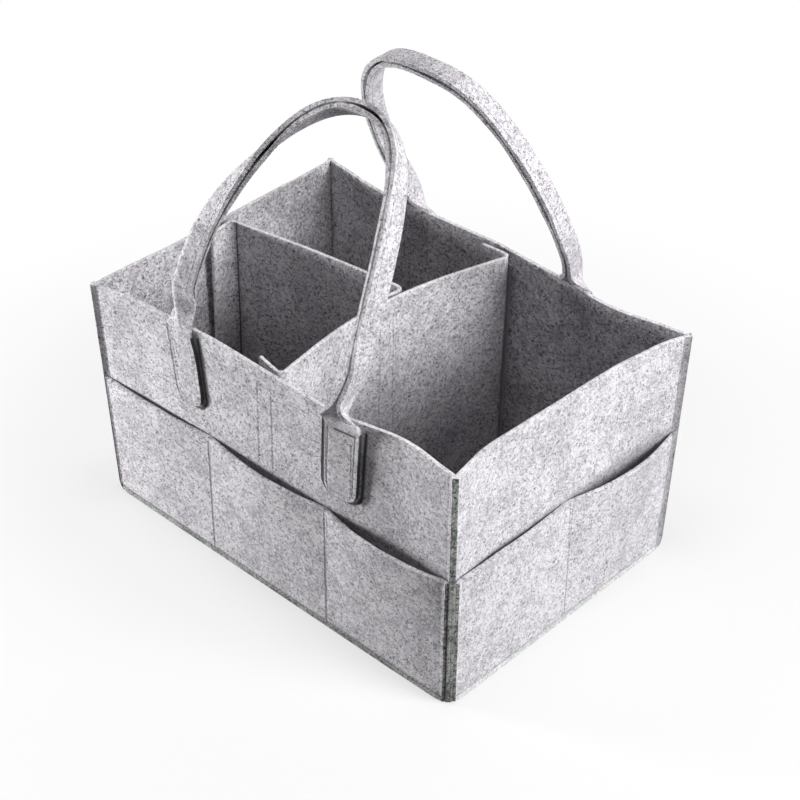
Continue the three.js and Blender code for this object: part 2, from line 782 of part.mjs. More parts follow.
const tub = new THREE.Group();
tub.add(feltPiece("base_panel", basePanel()));
for (const wall of walls) {
  const name = wall.name;
  tub.add(feltPiece(`${name}_wall`, wallSheet(wall)));
  tub.add(feltPiece(`${name}_pocket_strip`, pocketStrip(wall)));
  tub.add(threadPiece(`${name}_base_seam`, baseSeam(wall)));
  wall.stops.slice(1, -1).forEach((u, i) => {
    tub.add(threadPiece(`${name}_pocket_seam_${i + 1}`, divisionSeam(wall, u)));
  });
}
tub.add(threadPiece("front_left_corner_seam", cornerSeam(front, -1)));
tub.add(threadPiece("front_right_corner_seam", cornerSeam(front, 1)));
tub.add(threadPiece("back_right_corner_seam", cornerSeam(back, -1)));
tub.add(threadPiece("back_left_corner_seam", cornerSeam(back, 1)));
const tape_places = [
  [front, divider_front_x - tape_setback],
  [back, tape_setback - divider_back_x],
  [left_end, end_tape_setback - short_left_y],
];
for (const [wall, centre] of tape_places) {
  tub.add(tapePiece(`${wall.name}_hook_tape`, wallTape(wall, centre)));
  tub.add(threadPiece(`${wall.name}_hook_tape_seam`, tapeSeam(wall, centre)));
}

const caddy = new THREE.Group();
caddy.add(tub);

function handle(wall, arch, inward_sign, fold_sign) {
  const name = wall.name;
  for (const [side_name, side] of [["left", -1], ["right", 1]]) {
    const centre = side * handle_half_spacing;
    tub.add(feltPiece(`${name}_handle_${side_name}_tab`, tab(wall, centre)));
    tub.add(threadPiece(`${name}_handle_${side_name}_tab_seam`, tabSeam(wall, centre)));
  }
  const stations = strapStations(arch, inward_sign);
  const swinging = new THREE.Group();
  swinging.position.set(0, -inward_sign * axisDistance(wall), axis_z);
  swinging.add(feltPiece(`${name}_handle_strap`, strap(stations, fold_sign)));
  swinging.add(threadPiece(`${name}_handle_strap_seam`, strapSeam(stations, fold_sign)));
  caddy.add(swinging);
}
handle(front, front_arch, 1, 1);
handle(back, back_arch, -1, -1);

const main_divider = new THREE.Group();
main_divider.add(feltPiece("main_divider", upright(mainDividerPath, divider_foot, divider_top, felt)));
main_divider.add(tapePiece("main_divider_hook_tape", dividerTape()));
main_divider.add(threadPiece("main_divider_hook_tape_seam", dividerTapeSeam()));
main_divider.add(threadPiece("main_divider_front_fold_seam", foldSeam((z) => -frontPlane(z), 1)));
main_divider.add(threadPiece("main_divider_back_fold_seam", foldSeam(backPlane, -1)));
caddy.add(main_divider);
caddy.add(feltPiece("short_divider", upright(shortDividerPath, divider_foot, divider_top, felt)));

export default caddy;
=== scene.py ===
import json
import math

import bmesh
import bpy
from mathutils import Matrix, Vector
from mathutils.bvhtree import BVHTree

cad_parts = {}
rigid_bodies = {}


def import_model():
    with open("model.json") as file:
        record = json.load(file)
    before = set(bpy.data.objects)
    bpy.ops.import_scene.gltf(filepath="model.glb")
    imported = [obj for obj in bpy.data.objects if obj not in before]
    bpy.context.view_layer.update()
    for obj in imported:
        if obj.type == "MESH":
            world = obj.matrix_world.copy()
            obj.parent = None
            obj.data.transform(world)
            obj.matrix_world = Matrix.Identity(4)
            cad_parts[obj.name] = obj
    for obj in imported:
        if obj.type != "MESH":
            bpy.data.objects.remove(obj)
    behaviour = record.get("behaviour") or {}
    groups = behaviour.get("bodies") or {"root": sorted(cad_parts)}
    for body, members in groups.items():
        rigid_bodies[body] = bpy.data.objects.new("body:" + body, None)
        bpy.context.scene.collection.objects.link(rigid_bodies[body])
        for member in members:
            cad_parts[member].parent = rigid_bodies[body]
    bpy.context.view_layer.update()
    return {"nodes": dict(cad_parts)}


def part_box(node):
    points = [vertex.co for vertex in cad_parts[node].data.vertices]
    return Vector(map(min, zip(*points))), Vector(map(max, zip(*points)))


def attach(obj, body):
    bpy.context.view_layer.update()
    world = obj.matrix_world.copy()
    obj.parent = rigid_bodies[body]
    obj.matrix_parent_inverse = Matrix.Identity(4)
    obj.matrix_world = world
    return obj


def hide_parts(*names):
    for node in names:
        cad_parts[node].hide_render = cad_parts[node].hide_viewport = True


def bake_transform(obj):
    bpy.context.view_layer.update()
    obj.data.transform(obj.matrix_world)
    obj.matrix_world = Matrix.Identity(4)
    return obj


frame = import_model()

MM = 0.001

# Sizes that the solids have too
felt = 2.8
layer_gap = 0.3
rim_height = 178
pocket_height = 100
long_seam_x = 55.44
handle_half_spacing = 74
strap_rise = 181
axis_z = 181.7
front_axis_y = -115.151
back_axis_y = 113.857
short_fold_x = -152.5
short_fold_y = 4

# A handle's arch seen from the side and from the front: its lean from upright in degrees at the feet and
# at the crown, how square it is, how far its crown is off to one side, and its rise and swell
front_arch = dict(root_lean=8, crown_lean=46, power=2.2, skew=0.08, rise=1, swell=0)
back_arch = dict(root_lean=30, crown_lean=22, power=2.9, skew=-0.01, rise=0.975, swell=0.07)

# The tabs to the right (1) and to the left (-1): their middle at the foot and at the top, half their
# width, the height of their foot, which face of the strip lies outward, the neck's length above the
# hinge axis, how much narrower they get at the top, from where to where the strip folds, how far the
# fold bulges and where the piece's chart begins, with past_lines for a chart beyond the lines on it
tab_top = 177
tab_radius = 8.5
past_lines = 100
right_front_tab = dict(low=68.6, high=70.8, half=13.3, foot=116.5, facing=1, neck=36, shoulder=0,
                       fold=(-9, 15), bulge=0.2, chart=0)
left_front_tab = dict(low=-71.2, high=-79.8, half=11.2, foot=120.5, facing=-1, neck=30, shoulder=2.4,
                      fold=(-6, 21), bulge=0.3, chart=past_lines)
right_back_tab = dict(low=74, high=74, half=14, foot=121, facing=1, neck=36, shoulder=0,
                      fold=(-9, 10), bulge=0.75, chart=0)
left_back_tab = dict(right_back_tab, low=-74, high=-74)
front_tabs = {1: right_front_tab, -1: left_front_tab}
back_tabs = {1: right_back_tab, -1: left_back_tab}

# Where a corner's cut edges begin at the foot, as the sum of x and y
base_corner_sum = 267.5
thread_radius = 0.4
fold_radius = 1.6


def point(x, y, z):
    return Vector((x, y, z)) * MM


def mix(a, b, share):
    return a + (b - a) * share


def eased(value, low, high):
    share = min(1, max(0, (value - low) / (high - low)))
    return share * share * (3 - 2 * share)


def colour(red, green, blue):
    """A colour as a picture shows it, from 0 to 255, made linear."""
    shares = [part / 255 for part in (red, green, blue)]
    linear = [s / 12.92 if s <= 0.04045 else ((s + 0.055) / 1.055) ** 2.4 for s in shares]
    return (*linear, 1)


# Shader sums

class Wire:
    """A shader socket that works in Python sums."""

    def __init__(self, tree, socket):
        self.tree = tree
        self.socket = socket

    def sum(self, operation, *others, swapped=False):
        """The result of a math node on this socket and others, with this one last if swapped."""
        node = self.tree.nodes.new("ShaderNodeMath")
        node.operation = operation
        values = (*others, self) if swapped else (self, *others)
        for place, value in zip(node.inputs, values):
            connect(self.tree, value, place)
        return Wire(self.tree, node.outputs[0])

    def __add__(self, other):
        return self.sum("ADD", other)

    def __radd__(self, other):
        return self.sum("ADD", other, swapped=True)

    def __sub__(self, other):
        return self.sum("SUBTRACT", other)

    def __rsub__(self, other):
        return self.sum("SUBTRACT", other, swapped=True)

    def __mul__(self, other):
        return self.sum("MULTIPLY", other)

    def __abs__(self):
        return self.sum("ABSOLUTE")


def connect(tree, value, socket):
    """Plug a wire into a socket, or set its plain value."""
    if isinstance(value, Wire):
        tree.links.new(value.socket, socket)
    else:
        socket.default_value = value


class Finish:
    """A material made of nodes."""

    def __init__(self, name):
        self.material = bpy.data.materials.new(name)
        self.material.use_nodes = True
        self.tree = self.material.node_tree
        self.tree.nodes.clear()

    def node(self, kind, settings=None, inputs=None, output=0):
        node = self.tree.nodes.new("ShaderNode" + kind)
        for name, value in (settings or {}).items():
            setattr(node, name, value)
        for name, value in (inputs or {}).items():
            connect(self.tree, value, node.inputs[name])
        return Wire(self.tree, node.outputs[output])

    def noise(self, place, size, detail=2, roughness=0.5):
        """Noise with lumps of a size in millimetres."""
        inputs = {"Vector": place, "Scale": 1 / (size * MM), "Detail": detail, "Roughness": roughness}
        return self.node("TexNoise", None, inputs, "Fac")

    def turned(self, place, angles, stretch):
        """A place turned by angles in degrees and stretched, for grain that runs one way."""
        turns = [math.radians(angle) for angle in angles]
        return self.node("Mapping", None, {"Vector": place, "Rotation": turns, "Scale": stretch})

    def strands(self, place, ways, size, low, high):
        """Short fibres that lie in several ways: 1 on a fibre, 0 beside it."""
        found = None
        for way in ways:
            grain = self.turned(place, way, (0.25, 1, 1))
            strand = self.step(self.noise(grain, size, 1, 0.5), low, high)
            found = strand if found is None else found.sum("MAXIMUM", strand)
        return found

    def step(self, value, low, high, interpolation="SMOOTHSTEP"):
        """0 below low, 1 above high."""
        inputs = {"Value": value, "From Min": low, "From Max": high}
        return self.node("MapRange", {"interpolation_type": interpolation}, inputs)

    def mixed(self, share, first, second):
        """The first colour, with a share of the second."""
        return self.node("Mix", {"data_type": "RGBA"}, {0: share, 6: first, 7: second}, 2)

    def put_out(self, shader):
        """Make a shader the material's surface."""
        out = self.tree.nodes.new("ShaderNodeOutputMaterial")
        self.tree.links.new(shader.socket, out.inputs["Surface"])
        return self.material

    def surface(self, inputs):
        """The material with one principled surface."""
        return self.put_out(self.node("BsdfPrincipled", None, inputs))


# The reach and darkness of the painted shade along a line on the felt, which dips in the bump as well:
# a sewn seam, an open gap, where the shade is a painted shadow, and the mark of stitches behind
seam_groove_shade = (1.5, 0.45)
gap_shadow = (1.4, 0.96)
mark_groove_shade = (1.1, 0.24)

# The heights where the painted shade begins and where the base's cut edge ends
shade_top = 165
raw_foot_top = 4


def curled_place(finish, place):
    """The place moved about a little, so that fibres curl."""
    inputs = {"Vector": place, "Scale": 1 / (3 * MM), "Detail": 1}
    swirl = finish.node("TexNoise", None, inputs, "Color")
    swirl = finish.node("VectorMath", {"operation": "SUBTRACT"}, {0: swirl, 1: (0.5, 0.5, 0.5)})
    swirl = finish.node("VectorMath", {"operation": "SCALE"}, {0: swirl, "Scale": 6 * MM})
    return finish.node("VectorMath", {"operation": "ADD"}, {0: place, 1: swirl})


def split(finish, place):
    """The three parts of a place."""
    return [finish.node("SeparateXYZ", None, {"Vector": place}, part) for part in range(3)]


def felt_finish(name, pale, grey, dark, seams_and_shades=(), gap_shadows=(), marks=(), foot=None, chart="Object",
                contrast=0.85, shade=0):
    """Needled heather felt: pale and grey fibres with dark ones between them.

    Seams and shades, gap shadows and marks are functions of a place on the chart that give the distance
    to a line, where the felt darkens with painted shade and dips in the bump. Foot has the two colours of
    the cut edge at the floor. Shade is how dark the painted shade makes the felt towards it.
    """
    finish = Finish(name)
    place = finish.node("TexCoord", output="Object")
    curled = curled_place(finish, place)
    clouds = finish.noise(place, 13, 3, 0.6)
    patches = finish.noise(place, 30, 1, 0.5)
    clumps = finish.noise(curled, 2.4, 2, 0.6)
    grit = finish.noise(place, 1.05, 1, 0.5)
    strands = finish.strands(curled, [(0, 35, 20), (60, 0, -50), (20, 80, 70)], 0.95, 0.54, 0.66)
    threads = finish.strands(curled, [(10, 50, -30), (-70, 10, 40)], 0.9, 0.55, 0.66)
    blotch = finish.step(clumps, 0.4, 0.62)
    pepper = finish.step(grit, 0.52, 0.7)
    dark_share = (strands * (0.3 + blotch * 0.6) + pepper * (0.12 + blotch * 0.5)) * contrast
    grey_share = finish.step(clouds * 0.45 + clumps * 0.55 + (patches - 0.5) * 0.3, 0.38, 0.6)
    tint = finish.mixed(grey_share, pale, grey)
    tint = finish.mixed(dark_share.sum("MINIMUM", 1.0), tint, dark)
    light_share = threads * (1 - blotch * 0.5) * 0.7 + (1 - finish.step(grit, 0.3, 0.46)) * 0.35
    tint = finish.mixed(light_share.sum("MINIMUM", 1.0), tint, pale)
    height = clumps * 0.6 + grit * 0.6 + threads * 0.4 - strands * 0.2
    x, y, z = split(finish, place)
    if shade:
        depth = 1 - finish.step(z, 0, shade_top * MM, "SMOOTHERSTEP")
        tint = finish.mixed(depth * shade, tint, deep_shade)
    if foot:
        raw_share = (1 - finish.step(z, (raw_foot_top - 0.4) * MM, (raw_foot_top + 0.4) * MM)) * 0.85
        raw_grain = finish.step(grit * 0.6 + clumps * 0.4, 0.42, 0.58)
        tint = finish.mixed(raw_share, tint, finish.mixed(raw_grain, *foot))
    if chart != "Object":
        x, y, z = split(finish, finish.node("TexCoord", output=chart))
    groove_and_shade = None
    for lines, (reach, darkness) in ((seams_and_shades, seam_groove_shade), (gap_shadows, gap_shadow), (marks, mark_groove_shade)):
        for line in lines:
            near = (1 - finish.step(line(x, y, z), 0, reach * MM)) * darkness
            groove_and_shade = near if groove_and_shade is None else groove_and_shade.sum("MAXIMUM", near)
    # Painted shade along the lines: the felt's colour is darkened towards deep_shade there
    if groove_and_shade:
        height = height - groove_and_shade * 4
        tint = finish.mixed(groove_and_shade, tint, deep_shade)
    bump = finish.node("Bump", None, {"Strength": 0.7, "Distance": 0.45 * MM, "Height": height})
    return finish.surface({
        "Base Color": tint, "Roughness": 0.93, "Specular IOR Level": 0.2, "Sheen Weight": 0.2,
        "Sheen Roughness": 0.6, "Normal": bump,
    })


def thread_finish():
    """Twisted sewing thread."""
    finish = Finish("thread")
    place = finish.node("TexCoord", output="Object")
    twist = finish.noise(finish.turned(place, (20, 30, 45), (1, 0.3, 1)), 0.35, 1)
    tint = finish.mixed(finish.step(twist, 0.35, 0.65), colour(140, 138, 143), colour(182, 180, 185))
    bump = finish.node("Bump", None, {"Strength": 0.4, "Distance": 0.1 * MM, "Height": twist})
    return finish.surface({"Base Color": tint, "Roughness": 0.6, "Sheen Weight": 0.2, "Normal": bump})


def tape_finish():
    """Woven hook tape: close rows of small hooks between plain selvages."""
    finish = Finish("hook_tape")
    place = finish.node("TexCoord", output="Object")
    cells = {"Vector": place, "Scale": 1 / (1.1 * MM), "Randomness": 0.25}
    hooks = finish.node("TexVoronoi", None, cells, "Distance")
    tips = 1 - finish.step(hooks, 0.12, 0.42)
    wear = finish.noise(place, 9, 3)
    tint = finish.mixed(tips, colour(176, 176, 180), colour(226, 226, 228))
    tint = finish.mixed(finish.step(wear, 0.45, 0.75) * 0.3, tint, colour(150, 150, 155))
    bump = finish.node("Bump", None, {"Strength": 0.9, "Distance": 0.6 * MM, "Height": tips})
    return finish.surface({"Base Color": tint, "Roughness": 0.55, "Normal": bump})


pale_felt = colour(224, 221, 226)
grey_felt = colour(180, 176, 183)
dark_felt = colour(50, 47, 53)
# Tones of the cut edges, darker than the rims partly by painted shade
raw_pale = colour(180, 183, 179)
raw_grey = colour(66, 69, 65)
# A lighter copy of the cut edges' tones: painted light
painted_lit_pale = colour(234, 236, 234)
painted_lit_grey = colour(186, 189, 187)
deep_shade = colour(26, 24, 29)


# Lines on the felt: each function gives the distance from a place to its line

def positive(wire):
    return wire.sum("MAXIMUM", 0.0)


def corner_distance(sideways, downwards):
    """How far a place lies past the middle of a rounded corner."""
    squares = positive(sideways).sum("POWER", 2.0) + positive(downwards).sum("POWER", 2.0)
    return squares.sum("POWER", 0.5)


def base_line(x, y, z):
    """The base seam, a little above the floor, along which the felt takes a painted shade line."""
    return abs(z - 4.8 * MM)


def long_lines(x, y, z):
    """The two seams that part a long side's pockets."""
    return abs(abs(x) - long_seam_x * MM) + positive(z - (pocket_height - 3) * MM)


def middle_line(x, y, z):
    """The seam that parts an end's pockets."""
    return abs(y) + positive(z - (pocket_height - 3) * MM)


# The tab on the handle's chart, where across runs from -1 to 1 and up is in metres from the tab's foot
chart_half_width = 12
tab_outline_across = 0.8
tab_outline_middle = 28.5
tab_outline_half = 25
tab_crease_up = 53.2


def tab_outline(across, up, unused):
    """The row of stitches round the tab."""
    sideways = (abs(across) - tab_outline_across) * (chart_half_width * MM)
    return abs(sideways.sum("MAXIMUM", abs(up - tab_outline_middle * MM) - tab_outline_half * MM))


def tab_crease(across, up, unused):
    """The row of stitches across the top of the tab, pulled deepest on one side, with a painted shadow."""
    return abs(up - tab_crease_up * MM) + positive(abs(across + 0.2) - 0.6) * (chart_half_width * MM)


def beside(tab, shift, spread):
    """A painted shadow line on the wall round one tab, moved aside and spread out by some millimetres."""
    slope = (tab["high"] - tab["low"]) / (tab_top - tab["foot"])
    round_side, round_foot, round_reach = 9, 7, 9.4

    def line(x, y, z):
        up = z - tab["foot"] * MM
        sideways = abs(x - up * slope - (tab["low"] + shift) * MM) - (tab["half"] + spread) * MM
        reach = corner_distance(sideways + round_side * MM, round_foot * MM - up)
        past = abs(reach - round_reach * MM)
        return positive(past - 0.5 * MM) + positive(z - (tab_top - 5) * MM)
    return line


def above_pockets(z):
    return positive(z - (pocket_height - 2) * MM)


def front_shade(x, y, z):
    """The shade on the front wall above the pockets, deeper towards the right."""
    return above_pockets(z) * (0.36 - x * 1.7).sum("MAXIMUM", 0.12)


def end_shade(x, y, z):
    """The shade on the right end wall above the pockets."""
    return above_pockets(z) * (0.26 - y * 2).sum("MAXIMUM", 0.1)


def tab_stitches(x, y, z):
    """The stitches that hold the tabs, where they come through to the inside of the walls."""
    half_width, foot, top, radius = 10.6, 126, 173, 7
    sideways = abs(abs(x) - handle_half_spacing * MM) - half_width * MM
    reach = corner_distance(sideways + radius * MM, (foot + radius) * MM - z)
    return abs(reach - radius * MM) + positive(z - top * MM)


def tape_stitches(node):
    """The stitches of one hook tape, where they come through to the other side of the felt."""
    low, high = (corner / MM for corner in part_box(node))
    axis = 0 if high.x - low.x > high.y - low.y else 1
    middle = (low[axis] + high[axis]) / 2
    half = (high[axis] - low[axis]) / 2

    def line(*place):
        z = place[2]
        sideways = abs(place[axis] - middle * MM) - (half - thread_radius) * MM
        past = abs(sideways.sum("MAXIMUM", z - (high.z - thread_radius) * MM))
        return past + positive(low.z * MM - z)
    return line


def back_right_corner(x, y, z):
    """The painted shade on the turned out edge at the back right corner, past the fold where it begins."""
    return z * 0.043 + base_corner_sum * MM - x - y


def short_fold(x, y, z):
    """The painted shadow in the sharp crease where the short divider's left flange begins."""
    return abs(x - short_fold_x * MM).sum("MAXIMUM", abs(y - short_fold_y * MM) - 1 * MM)


shades = (pale_felt, grey_felt, dark_felt)
felt_face = felt_finish("heather_felt", *shades)
# Painted shadow in the short divider's fold and painted shade towards the floor
divider_felt = felt_finish("divider_felt", *shades, gap_shadows=[short_fold], contrast=1.1, shade=0.5)
tall_felt = felt_finish("main_divider_felt", *shades, contrast=1, shade=0.05,
                        marks=[tape_stitches("main_divider_hook_tape_seam")])
# Painted shadows round the tabs and painted shade above the pockets
front_felt = felt_finish("front_wall_felt", *shades,
                         seams_and_shades=[beside(left_front_tab, -2.3, 1.6), front_shade],
                         gap_shadows=[beside(right_front_tab, -1.2, 2.7), beside(left_front_tab, 0.8, 0.4)],
                         marks=[tape_stitches("front_hook_tape_seam")])
# Inner faces: a darker grey than the outer felt and painted shade towards the floor, for shade in the tub
inner_felt = felt_finish("inner_wall_felt", colour(226, 223, 228), colour(170, 166, 173), dark_felt,
                         marks=[tab_stitches], contrast=1.15, shade=0.4)
# Painted shade at the back right corner and above the pockets
right_felt = felt_finish("right_wall_felt", *shades, seams_and_shades=[back_right_corner, end_shade], contrast=0.75)
# Cut felt on the rims and divider edges, lighter than the faces: own tone and a painted highlight
rim_felt_and_highlight = felt_finish("cut_rim_and_highlight", colour(238, 237, 239), colour(202, 200, 205), colour(90, 88, 92),
                       contrast=0.65)
# The straps' cut edges, darker than the rims: their own tone and painted shade
strap_edge = felt_finish("strap_edge", colour(212, 210, 214), colour(156, 154, 158), colour(56, 54, 58))
# Painted shadow: near black felt on the tabs' cut sides, for the shade in the gap between tab and wall
tab_shade = felt_finish("tab_side_painted_shadow", colour(66, 64, 68), colour(46, 44, 48), deep_shade)
# Painted light: the lighter copy of the cut felt, for the base's edges that face +x
painted_lit_edge = felt_finish("painted_lit_edge", painted_lit_pale, painted_lit_grey, colour(120, 124, 120), contrast=0.6)
# Cut edges that don't face up, darker than the rims: the layered felt's own tone and painted shade
felt_raw_and_shade = felt_finish("raw_edge_and_shade", raw_pale, raw_grey, colour(20, 24, 20), contrast=1.3)
# The base seam's line is a painted shadow here
long_strip_felt = felt_finish("long_strip_felt", *shades, seams_and_shades=[long_lines], gap_shadows=[base_line],
                              foot=(raw_pale, raw_grey))
# Painted shade at the back right corner, and a painted lit copy of the cut edge's tones at the foot
end_strip_felt = felt_finish("end_strip_felt", *shades, seams_and_shades=[back_right_corner],
                             marks=[middle_line, base_line], foot=(painted_lit_pale, painted_lit_grey), contrast=0.75)
# A painted shadow in the tab's top crease
tab_felt = felt_finish("handle_felt", *shades, gap_shadows=[tab_crease], marks=[tab_outline], chart="UV",
                       contrast=0.75)
thread = thread_finish()
hook_tape = tape_finish()


# Modelling

def only(piece):
    """Make one piece the only selected one and the active one."""
    bpy.ops.object.select_all(action="DESELECT")
    bpy.context.view_layer.objects.active = piece
    piece.select_set(True)


def edit(piece, kind, test, operator, **settings):
    """Pick the points, edges or faces that pass a test and use an edit mode operator on them."""
    only(piece)
    bpy.ops.object.mode_set(mode="EDIT")
    bpy.ops.mesh.select_mode(type=kind)
    bpy.ops.mesh.select_all(action="DESELECT")
    form = bmesh.from_edit_mesh(piece.data)
    items = {"VERT": form.verts, "EDGE": form.edges, "FACE": form.faces}[kind]
    picked = [item for item in items if test(item)]
    for item in picked:
        item.select_set(True)
    form.select_flush_mode()
    bmesh.update_edit_mesh(piece.data)
    if picked:
        operator(**settings)
    bpy.ops.object.mode_set(mode="OBJECT")


def finish_with(piece, kind, **settings):
    """Add one modifier and apply it."""
    only(piece)
    modifier = piece.modifiers.new(kind.lower(), kind)
    for name, value in settings.items():
        setattr(modifier, name, value)
    bpy.ops.object.modifier_apply(modifier=modifier.name)


def soften(piece, width, segments):
    """Round a piece's sharp edges."""
    finish_with(piece, "BEVEL", width=width * MM, segments=segments, limit_method="ANGLE",
                angle_limit=math.radians(60))


def everything(item):
    return True


def copy_of(node, name):
    """A node's shape as a new piece, its loose triangles joined and paired into four-sided faces."""
    piece = bpy.data.objects.new(name, frame["nodes"][node].data.copy())
    bpy.context.scene.collection.objects.link(piece)
    piece.data.materials.clear()
    edit(piece, "VERT", everything, bpy.ops.mesh.remove_doubles, threshold=0.005 * MM)
    edit(piece, "FACE", everything, bpy.ops.mesh.tris_convert_to_quads)
    return piece


def keep_face_side(piece, outward):
    """Keep only the side of a sheet that faces outward, out to its cut edges."""
    way = Vector(outward)
    facing = [face for face in piece.data.polygons if face.normal.dot(way) > 0.8]
    seed = max(facing, key=lambda face: face.area).index
    only(piece)
    bpy.ops.object.mode_set(mode="EDIT")
    bpy.ops.mesh.select_mode(type="FACE")
    bpy.ops.mesh.select_all(action="DESELECT")
    form = bmesh.from_edit_mesh(piece.data)
    form.faces.ensure_lookup_table()
    form.faces[seed].select_set(True)
    form.faces.active = form.faces[seed]
    bmesh.update_edit_mesh(piece.data)
    bpy.ops.mesh.faces_select_linked_flat(sharpness=math.radians(60))
    bpy.ops.mesh.select_all(action="INVERT")
    bpy.ops.mesh.delete(type="FACE")
    bpy.ops.object.mode_set(mode="OBJECT")


def upright(edge):
    """Whether an edge runs nearly straight up."""
    low, high = (vertex.co for vertex in edge.verts)
    return abs(high.z - low.z) > 0.9 * (high - low).length


def round_folds(piece, extra=lambda x, y: False):
    """Round the upright folds of a sheet, and put close loops beside extra upright lines."""
    def folded(edge):
        if edge.is_boundary or not upright(edge):
            return False
        spot = edge.verts[0].co / MM
        return edge.calc_face_angle(0) > math.radians(30) or extra(spot.x, spot.y)
    edit(piece, "EDGE", folded, bpy.ops.mesh.bevel, offset=fold_radius * MM, segments=3, affect="EDGES")


lumps = bpy.data.textures.new("lumps", "CLOUDS")
lumps.noise_scale = 22 * MM
lumps.noise_depth = 1


def smooth(piece, angle):
    """Shade smoothly across edges that bend by less than an angle in degrees."""
    only(piece)
    bpy.ops.object.shade_smooth_by_angle(angle=math.radians(angle))


def thicken(piece, offset, levels, materials, lump=0.5, edge=0.7):
    """Smooth a sheet, let it lie a little uneven and make it as thick as the felt.

    The materials are for the faces, the cut edges and, if there is a third, the cut edges that don't
    face up. Edge is how wide the cut edges are rounded.
    """
    for material in materials:
        piece.data.materials.append(material)
    finish_with(piece, "SUBSURF", levels=levels, render_levels=levels,
                boundary_smooth="PRESERVE_CORNERS")
    finish_with(piece, "DISPLACE", texture=lumps, texture_coords="LOCAL", mid_level=0.5,
                strength=lump * MM)
    finish_with(piece, "SOLIDIFY", thickness=felt * MM, offset=offset, use_even_offset=True,
                use_quality_normals=True, material_offset_rim=1)
    # Cut edges that don't face up take the third material, darker: a shaded copy of the cut felt
    for face in piece.data.polygons:
        if face.material_index == 1 and len(materials) > 2 and face.normal.z < 0.6:
            face.material_index = 2
    if edge:
        soften(piece, edge, 3)
        edit(piece, "VERT", everything, bpy.ops.mesh.remove_doubles, threshold=0.02 * MM)
    smooth(piece, 50)


def place_on(piece, body, slot, *nodes):
    """Let a piece ride on a body in place of some nodes."""
    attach(piece, body)
    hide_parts(*nodes)


def bvh(piece):
    spots = [vertex.co for vertex in piece.data.vertices]
    return BVHTree.FromPolygons(spots, [face.vertices for face in piece.data.polygons])


# The tub

# Each corner's raw edges in plan, outward in x and y, at the foot and at the rim
corner_tips = {
    (1, -1): ((164.2, 113.8), (162.8, 112.6)),
    (-1, -1): ((161.4, 111), (165.8, 118.6)),
    (1, 1): ((163, 111.8), (167, 115.4)),
    (-1, 1): ((162.6, 112.6), (168.2, 115.4)),
}
# How far before a corner its layers begin to sink to the floor and where they reach it
settle_start = 48
settle_end = 32
# How far along a corner's raw edges and to their sides its layers are pressed together
press_length = 4
press_width = 8
# How much flatter the layers get there and how far in their foot is pulled
squeeze = 0.2
foot_pull = 1.6


def press_corners(piece):
    """Squeeze the layers that are sewn together at each corner and let them stand on the floor."""
    for vertex in piece.data.vertices:
        x, y, z = vertex.co / MM
        past_base = eased(abs(x) + abs(y), base_corner_sum - settle_start, base_corner_sum - settle_end)
        vertex.co.z -= felt * MM * past_base * (1 - eased(z, 3, 14))
        side_x, side_y = math.copysign(1, x), math.copysign(1, y)
        foot, rim = corner_tips[(side_x, side_y)]
        share = z / rim_height
        off_x = mix(foot[0], rim[0], share) - abs(x)
        off_y = mix(foot[1], rim[1], share) - abs(y)
        along, across = (off_x + off_y) / 2, (off_x - off_y) / 2
        if along > press_length or abs(across) > press_width:
            continue
        across = math.copysign(max(0, abs(across) - squeeze), across) * mix(0.8, 1, eased(along, 0.8, 3.6))
        along += foot_pull * (1 - eased(z, 1, 8)) * (1 - eased(along, 0, press_length))
        vertex.co.x = side_x * (abs(x) + off_x - along - across) * MM
        vertex.co.y = side_y * (abs(y) + off_y - along + across) * MM


walls = {
    "front": (0, -1, 0),
    "back": (0, 1, 0),
    "right_end": (1, 0, 0),
    "left_end": (-1, 0, 0),
}
surfaces = {}
rim_edge = 0.95

# The base's corner radius, how far its corners are tucked in between the layers, and where in x and y the
# tuck comes in
base_radius = 12
tuck = 2.6
end_tuck = ((160, 166), (82, 104))
side_tuck = ((122, 146), (110, 115))

base = copy_of("base_panel", "base_felt")
for material in (inner_felt, felt_raw_and_shade, painted_lit_edge):
    base.data.materials.append(material)
edit(base, "EDGE", upright, bpy.ops.mesh.bevel, offset=base_radius * MM, segments=6, affect="EDGES")
edit(base, "EDGE", lambda edge: edge.calc_length() > 100 * MM and not upright(edge),
     bpy.ops.mesh.subdivide, number_cuts=30)
for vertex in base.data.vertices:
    x, y = abs(vertex.co.x / MM), abs(vertex.co.y / MM)
    excess = max(0, x + y - base_corner_sum) / 2
    tucked_x = tuck * eased(x, *end_tuck[0]) * eased(y, *end_tuck[1])
    tucked_y = tuck * eased(x, *side_tuck[0]) * eased(y, *side_tuck[1])
    vertex.co.x = math.copysign(x - excess - tucked_x, vertex.co.x) * MM
    vertex.co.y = math.copysign(y - excess - tucked_y, vertex.co.y) * MM
# The base's cut edges facing +x take the painted lit copy, the others the darker, partly shaded tone
for face in base.data.polygons:
    is_edge = abs(face.normal.z) < 0.5
    face.material_index = (2 if face.normal.x > 0.3 else 1) if is_edge else 0
smooth(base, 50)
place_on(base, "tub", "felt", "base_panel")

